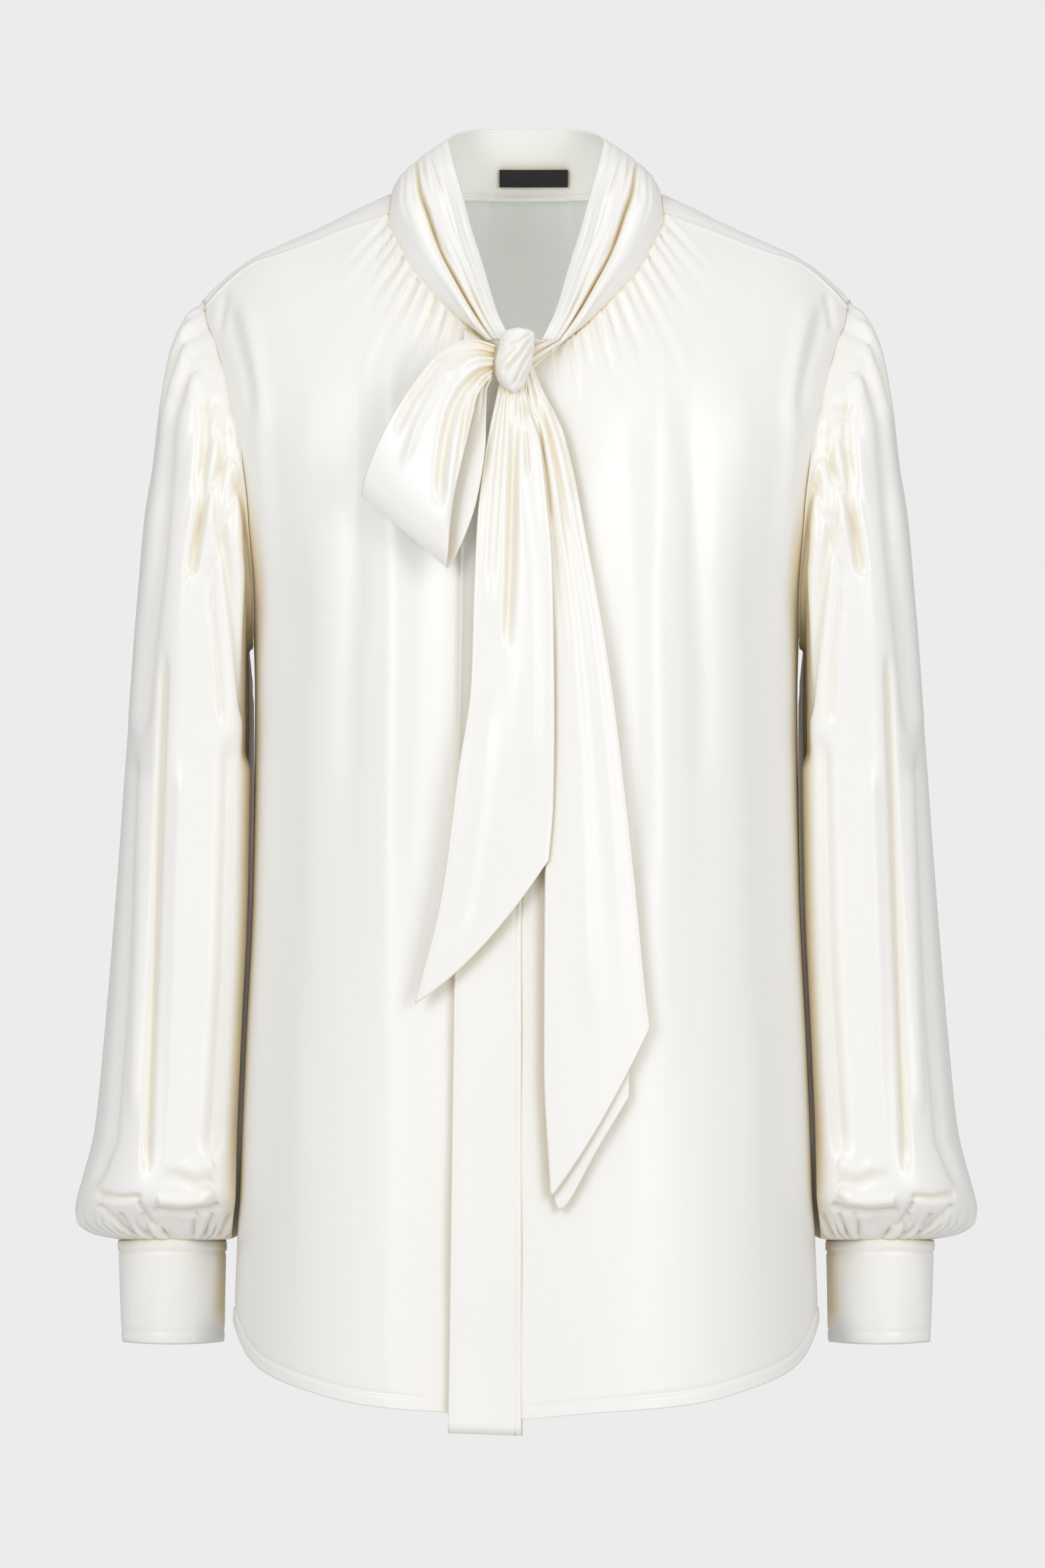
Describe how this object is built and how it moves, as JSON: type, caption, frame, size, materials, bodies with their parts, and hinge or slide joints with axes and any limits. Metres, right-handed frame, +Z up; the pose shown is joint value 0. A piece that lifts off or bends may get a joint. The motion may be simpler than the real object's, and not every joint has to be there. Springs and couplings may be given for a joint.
{
  "type": "tie neck blouse",
  "caption": "Long-sleeved satin blouse with a gathered neckline, a band collar whose ends tie in a bow at the throat, a covered button band, puffed sleeve ends, deep cuffs and a shirt-tail hem.",
  "frame": {"origin": "midway between the two shoulder seams at the neck, where the wearer's shoulders hold the blouse", "axes": "+Z up the body, -Y out of the front, +X towards the wearer's left"},
  "size_m": [0.546, 0.2773, 0.78],
  "materials": {
    "satin": "silk satin, soft sheen",
    "label": "matt woven",
    "button": "polished shell"
  },
  "bodies": {
    "root": {"back": "satin", "front_placket": "satin", "left_cuff": "satin", "right_cuff": "satin", "left_front": "satin", "right_front": "satin", "left_sleeve": "satin", "right_sleeve": "satin", "tie_collar": "satin", "tie_knot": "satin", "tie_loop": "satin", "tie_tail_long": "satin", "tie_tail_short": "satin", "left_cuff_button_1": "button", "left_cuff_button_2": "button", "right_cuff_button_1": "button", "right_cuff_button_2": "button", "neck_label": "label"}
  },
  "joints": []
}
